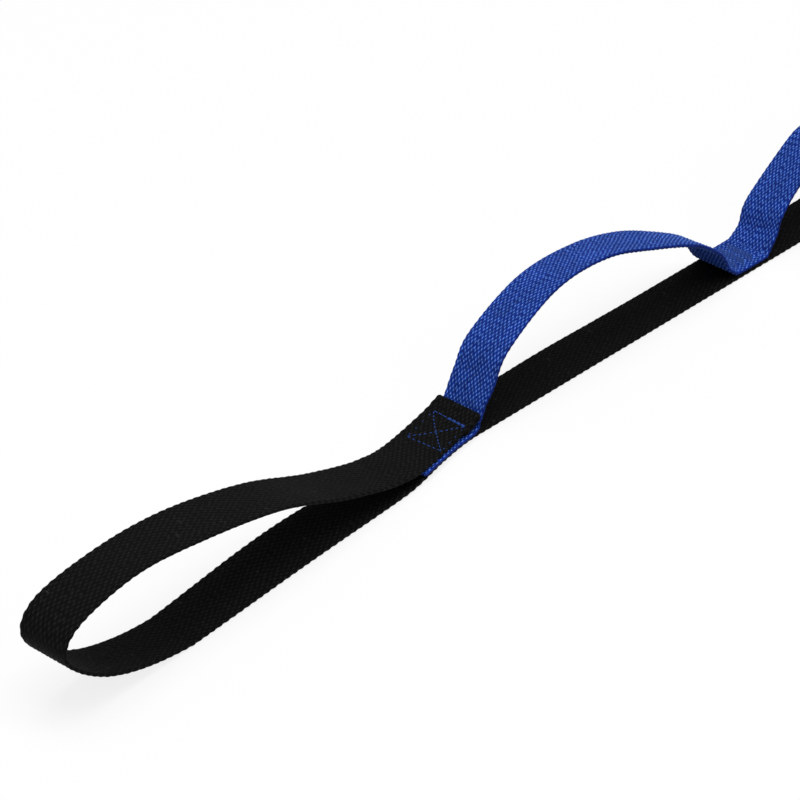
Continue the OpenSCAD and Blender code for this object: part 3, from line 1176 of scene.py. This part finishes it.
@dataclass
class Strap:
    """The whole strap: two bands of webbing, cut at the fold lines and sewn together."""

    sizes: StrapSizes
    # share of the span, share of the top, roll in degrees
    ARCH_1 = ((0.052, 0.384, 2.6), (0.105, 0.64, -2), (0.28, 0.925, -8), (0.472, 0.946, -8.7),
              (0.654, 0.792, -2.3), (0.822, 0.563, -6.5), (0.922, 0.358, -1.7), (0.963, 0.17, 0.8),
              (0.986, 0.091, 0))
    ARCH_2 = ((0.053, 0.193, -10), (0.072, 0.35, -7.5), (0.13, 0.522, -10.5), (0.25, 0.776, -10.5),
              (0.31, 0.838, -10.4), (0.472, 0.946, -8.7), (0.654, 0.812, -4), (0.822, 0.573, -5),
              (0.922, 0.358, -2), (0.963, 0.17, 0), (0.986, 0.091, 0))
    ARCH_3 = ((0.043, 0.21, -2), (0.066, 0.37, 1), (0.13, 0.62, 2), (0.28, 0.9, 5), (0.472, 0.94, 6),
              (0.654, 0.80, 3), (0.822, 0.57, -2), (0.922, 0.358, -2), (0.963, 0.17, 0), (0.986, 0.091, 0))
    ARCH_4 = ((0.05, 0.22, -4), (0.07, 0.36, -2), (0.12, 0.6, 3), (0.26, 0.87, 6), (0.45, 0.945, 4),
              (0.64, 0.86, 1), (0.8, 0.7, 4), (0.91, 0.5, 5), (0.95, 0.36, 5))
    BASE_ROLLS = (2.5, 2.0, -3.0, 3.0)   # degrees that each bay's base rolls at mid-bay
    SLIP = 1.5                           # mm of blue that shows past the tab's near edge
    BLACK_WIDER = 0.8                    # mm that the black webbing is wider than the blue
    OVER = 1.0                           # mm past a fold line at which a band is cut
    BASE_BEND = 5.0                      # mm along X over which the base bends at a fold line
    LADDER_BEND = 9.0                    # the same for the ladder's legs, which stand higher

    def build(self) -> None:
        """Build both bands with their cuts, then all the stitching."""
        s = self.sizes
        ends = {end: EndLoop(s, end) for end in End}
        arches = (self.ARCH_1, self.ARCH_2, self.ARCH_3, self.ARCH_4)
        bays = [Bay(s, n, arch, roll)
                for n, (arch, roll) in enumerate(zip(arches, self.BASE_ROLLS), start=1)]

        black_rows = ends[End.A].loop_rows()[::-1]
        for bay in bays:
            black_rows += bay.base_rows()
        black_rows += ends[End.B].loop_rows()
        black = Route.through(black_rows, s, BLACK_WEBBING.float_len / 3)
        furrows = [f for end in ends.values() for f in end.furrows(black)]
        Band(black, BLACK_WEBBING, s.width + self.BLACK_WIDER, s.base_t, "black_webbing", seed=11,
             furrows=furrows).build(self.black_cuts(black, bays))

        blue_rows = ends[End.A].tuck_rows() + ends[End.A].leg_foot_rows()
        for bay in bays:
            blue_rows += bay.loop_rows()
        blue_rows += ends[End.B].leg_foot_rows()[::-1] + ends[End.B].tuck_rows()[::-1]
        blue = Route.through(blue_rows, s, BLUE_WEBBING.float_len / 3, self.SLIP)
        marks = self.blue_marks(blue, bays)
        furrows = [f for bay, (low, high) in zip(bays[:-1], self.patches(marks))
                   for f in bay.patch_ends(blue, low, high)]
        Band(blue, BLUE_WEBBING, s.width, s.ladder_t, "blue_webbing", seed=31,
             furrows=furrows).build(self.blue_cuts(marks))

        for end in ends.values():
            end.sew(black)
        for bay, (low, high) in zip(bays[:-1], self.patches(marks)):
            bay.sew(blue, low, high)

    def bends(self, stem: str, node: str, marks: Sequence[float], bend: float, rests: str) -> list[Cut]:
        """Cut the four bays' pieces, each of which runs over the fold line at its start and records the bend
        there.

        Args:
            stem: start of the pieces' names.
            node: start of the CAD nodes' names.
            marks: mm along the band at the first cut, each later cut, mid-bay and the last cut.
            bend: mm along X over which a piece bends.
            rests: start of the name of what the pieces rest on, or nothing.

        Returns:
            The cuts.
        """
        bodies = ["end_a", "bay_1", "bay_2", "bay_3", "bay_4", "end_b"]
        cuts = []
        for n in range(1, len(marks) - 1):
            start = self.sizes.folds[n - 1] - self.OVER
            cuts.append(Cut(f"{stem}_{n}", marks[n - 1], marks[n], f"{node}_{n}", bodies[n - 1], bodies[n],
                            (start, start + bend), rests_on=(f"{rests}_{n}",) if rests else ()))
        n, stop = len(marks) - 2, self.sizes.folds[-1] + self.OVER
        cuts.append(Cut(f"{stem}_{n}_right", marks[-2], marks[-1], f"{node}_{n}", bodies[n], bodies[n + 1],
                        (stop - bend, stop), rests_on=(f"{rests}_{n}",) if rests else ()))
        return cuts

    def cut_places(self, bays: Sequence[Bay]) -> list[float]:
        """Give the places along X at which both bands are cut.

        Args:
            bays: the bays.

        Returns:
            A place beside each fold line, with the middle of the last bay among them.
        """
        places = [bay.fold - self.OVER for bay in bays]
        return places + [bays[-1].fold + self.sizes.span / 2, self.sizes.folds[-1] + self.OVER]

    def black_cuts(self, route: Route, bays: Sequence[Bay]) -> list[Cut]:
        """Cut the black webbing into its two end loops and the base pieces.

        Args:
            route: its route.
            bays: the bays.

        Returns:
            The cuts.
        """
        s, total = self.sizes, float(route.run[-1])
        flat = np.abs(route.middle[:, 0]) < s.folds[-1] + 2 * self.OVER
        low_z = route.middle[:, 2] < s.ladder_mid
        on_base = route.run[flat & low_z]
        low, high = float(on_base[0]), float(on_base[-1])
        marks = [route.run_at(x, low, high) for x in self.cut_places(bays)]
        loops = [Cut("black_end_loop_a", 0.0, marks[0], "end_loop_a", "end_a", held="folded",
                     rests_on=("ladder_end_a",)),
                 Cut("black_end_loop_b", marks[-1], total, "end_loop_b", "end_b", held="folded",
                     rests_on=("ladder_end_b",))]
        return loops + self.bends("black_base", "base_strap", marks, self.BASE_BEND, "")

    def blue_marks(self, route: Route, bays: Sequence[Bay]) -> list[float]:
        """Find where the blue webbing is cut.

        Args:
            route: its route.
            bays: the bays.

        Returns:
            Mm along the route of its start, of each cut and of its end.
        """
        x = route.middle[:, 0]
        cuts = [float(route.run[np.argmin(np.abs(x - p))]) for p in self.cut_places(bays)]
        return [0.0] + cuts + [float(route.run[-1])]

    def patches(self, marks: Sequence[float]) -> list[tuple[float, float]]:
        """Give the stretch of the blue webbing in which each sewn patch lies.

        Args:
            marks: mm along its route of its start, of each cut and of its end.

        Returns:
            For each patch, mm along the route to search from and to.
        """
        return [(m - self.sizes.patch, m + self.OVER) for m in marks[2:2 + len(self.sizes.folds) - 2]]

    def blue_cuts(self, marks: Sequence[float]) -> list[Cut]:
        """Cut the blue webbing into its two tucked ends and the ladder loops.

        Args:
            marks: mm along its route of its start, of each cut and of its end.

        Returns:
            The cuts.
        """
        tucks = [Cut("blue_ladder_end_a", marks[0], marks[1], "ladder_end_a", "end_a",
                     rests_on=("end_loop_a",)),
                 Cut("blue_ladder_end_b", marks[-2], marks[-1], "ladder_end_b", "end_b",
                     rests_on=("end_loop_b",))]
        return tucks + self.bends("blue_ladder", "ladder_loop", marks[1:-1], self.LADDER_BEND, "base_strap")


# ---------------------------------------------------------------------------
# Stage: floor, light and camera
# ---------------------------------------------------------------------------

@dataclass
class Studio:
    """A pale floor, soft lamps and the camera."""

    fold_a: float                        # m, the fold line that the view is framed by
    azimuth: float = 42.7                # degrees from +X to the view's heading
    elevation: float = 32.5
    distance: float = 2.025              # m
    lens: float = 198.0                  # mm on a 36 mm sensor
    right_of: float = 0.0275             # m, how far the fold line is right of the view's middle
    below: float = 0.0115                # m, how far it is below
    glow: float = 0.82                   # share of the seen floor that is plain white
    ambient: float = 0.4                 # light from all round

    def camera(self) -> None:
        """Make the scene's camera."""
        a, e = math.radians(self.azimuth), math.radians(self.elevation)
        back = Vector((-math.cos(a) * math.cos(e), -math.sin(a) * math.cos(e), math.sin(e)))
        right = Vector((math.sin(a), -math.cos(a), 0))
        up = back.cross(right)
        data = bpy.data.cameras.new("camera")
        data.lens = self.lens
        data.sensor_width = 36.0
        data.clip_start = 0.05
        data.clip_end = 60.0
        cam = bpy.data.objects.new("camera", data)
        target = Vector((self.fold_a, 0, 0)) - right * self.right_of + up * self.below
        cam.location = target + back * self.distance
        cam.rotation_mode = "QUATERNION"
        cam.rotation_quaternion = (-back).to_track_quat("-Z", "Y")
        bpy.context.scene.collection.objects.link(cam)
        bpy.context.scene.camera = cam

    def floor(self) -> None:
        """Lay a wide pale floor that shows white and keeps the strap's shadow."""
        half, drop = 14000.0, -0.2       # mm: the lowest floats stand a little under z = 0
        corners = np.array([(-half, -half, drop), (half, -half, drop), (half, half, drop),
                            (-half, half, drop)])
        obj = mesh_object("floor", corners, [(0, 1, 2, 3)])
        mat = bpy.data.materials.new("white_paper")
        tree = empty_tree(mat)
        path = add_node(tree, "ShaderNodeLightPath")
        seen = add_node(tree, "ShaderNodeMath", {"operation": "MAXIMUM"},
                        {0: path.outputs["Is Camera Ray"], 1: path.outputs["Is Glossy Ray"]})
        seen = add_node(tree, "ShaderNodeMath", {"operation": "MAXIMUM"},
                        {0: seen, 1: path.outputs["Is Transmission Ray"]})
        # the paper looks white, and sends only a soft grey light back up
        shade = add_node(tree, "ShaderNodeMix", {"data_type": "RGBA"},
                         {"Factor": seen, "A": linear("#8c8c8c"), "B": linear("#ffffff")})
        paper = add_node(tree, "ShaderNodeBsdfDiffuse", inputs={"Color": shade.outputs["Result"]})
        glow = add_node(tree, "ShaderNodeEmission", inputs={"Color": (1, 1, 1, 1), "Strength": 1.0})
        part = add_node(tree, "ShaderNodeMath", {"operation": "MULTIPLY"}, {0: seen, 1: self.glow})
        mix = add_node(tree, "ShaderNodeMixShader", inputs={0: part, 1: paper, 2: glow})
        add_node(tree, "ShaderNodeOutputMaterial", inputs={"Surface": mix})
        obj.data.materials.append(mat)

    def world(self) -> None:
        """Give soft light from all round, and a white background to the eye."""
        world = bpy.data.worlds.new("studio")
        bpy.context.scene.world = world
        tree = empty_tree(world)
        path = add_node(tree, "ShaderNodeLightPath")
        seen = add_node(tree, "ShaderNodeMath", {"operation": "MAXIMUM"},
                        {0: path.outputs["Is Camera Ray"], 1: path.outputs["Is Transmission Ray"]})
        strength = add_node(tree, "ShaderNodeMapRange",
                            inputs={"Value": seen, "To Min": self.ambient, "To Max": 1.0})
        back = add_node(tree, "ShaderNodeBackground",
                        inputs={"Color": (1, 1, 1, 1), "Strength": strength})
        add_node(tree, "ShaderNodeOutputWorld", inputs={"Surface": back})

    def lamp(self, name: str, place: tuple[float, float, float], size: float, power: float) -> None:
        """Hang one square soft lamp that faces the strap.

        Args:
            name: the lamp's name.
            place: where it hangs, in m.
            size: its side, in m.
            power: in watts.
        """
        data = bpy.data.lights.new(name, "AREA")
        data.shape = "SQUARE"
        data.size = size
        data.energy = power
        obj = bpy.data.objects.new(name, data)
        obj.location = place
        obj.rotation_mode = "QUATERNION"
        obj.rotation_quaternion = (-Vector(place)).to_track_quat("-Z", "Y")
        bpy.context.scene.collection.objects.link(obj)

    def build(self) -> None:
        """Set the whole stage."""
        bpy.context.scene.view_settings.view_transform = "Standard"
        self.camera()
        self.floor()
        self.world()
        self.lamp("key", (-0.8, -0.3, 3.1), 2.2, 64)
        self.lamp("fill", (1.6, -2.4, 1.8), 2.0, 15)


def main() -> None:
    """Set the stage and build the strap."""
    logging.basicConfig(level=logging.INFO, format="%(name)s: %(message)s")
    sizes = StrapSizes.from_frame(frame["joints"])
    Studio(fold_a=sizes.folds[0] * MM).build()
    Strap(sizes).build()


if __name__ == "__main__":
    main()
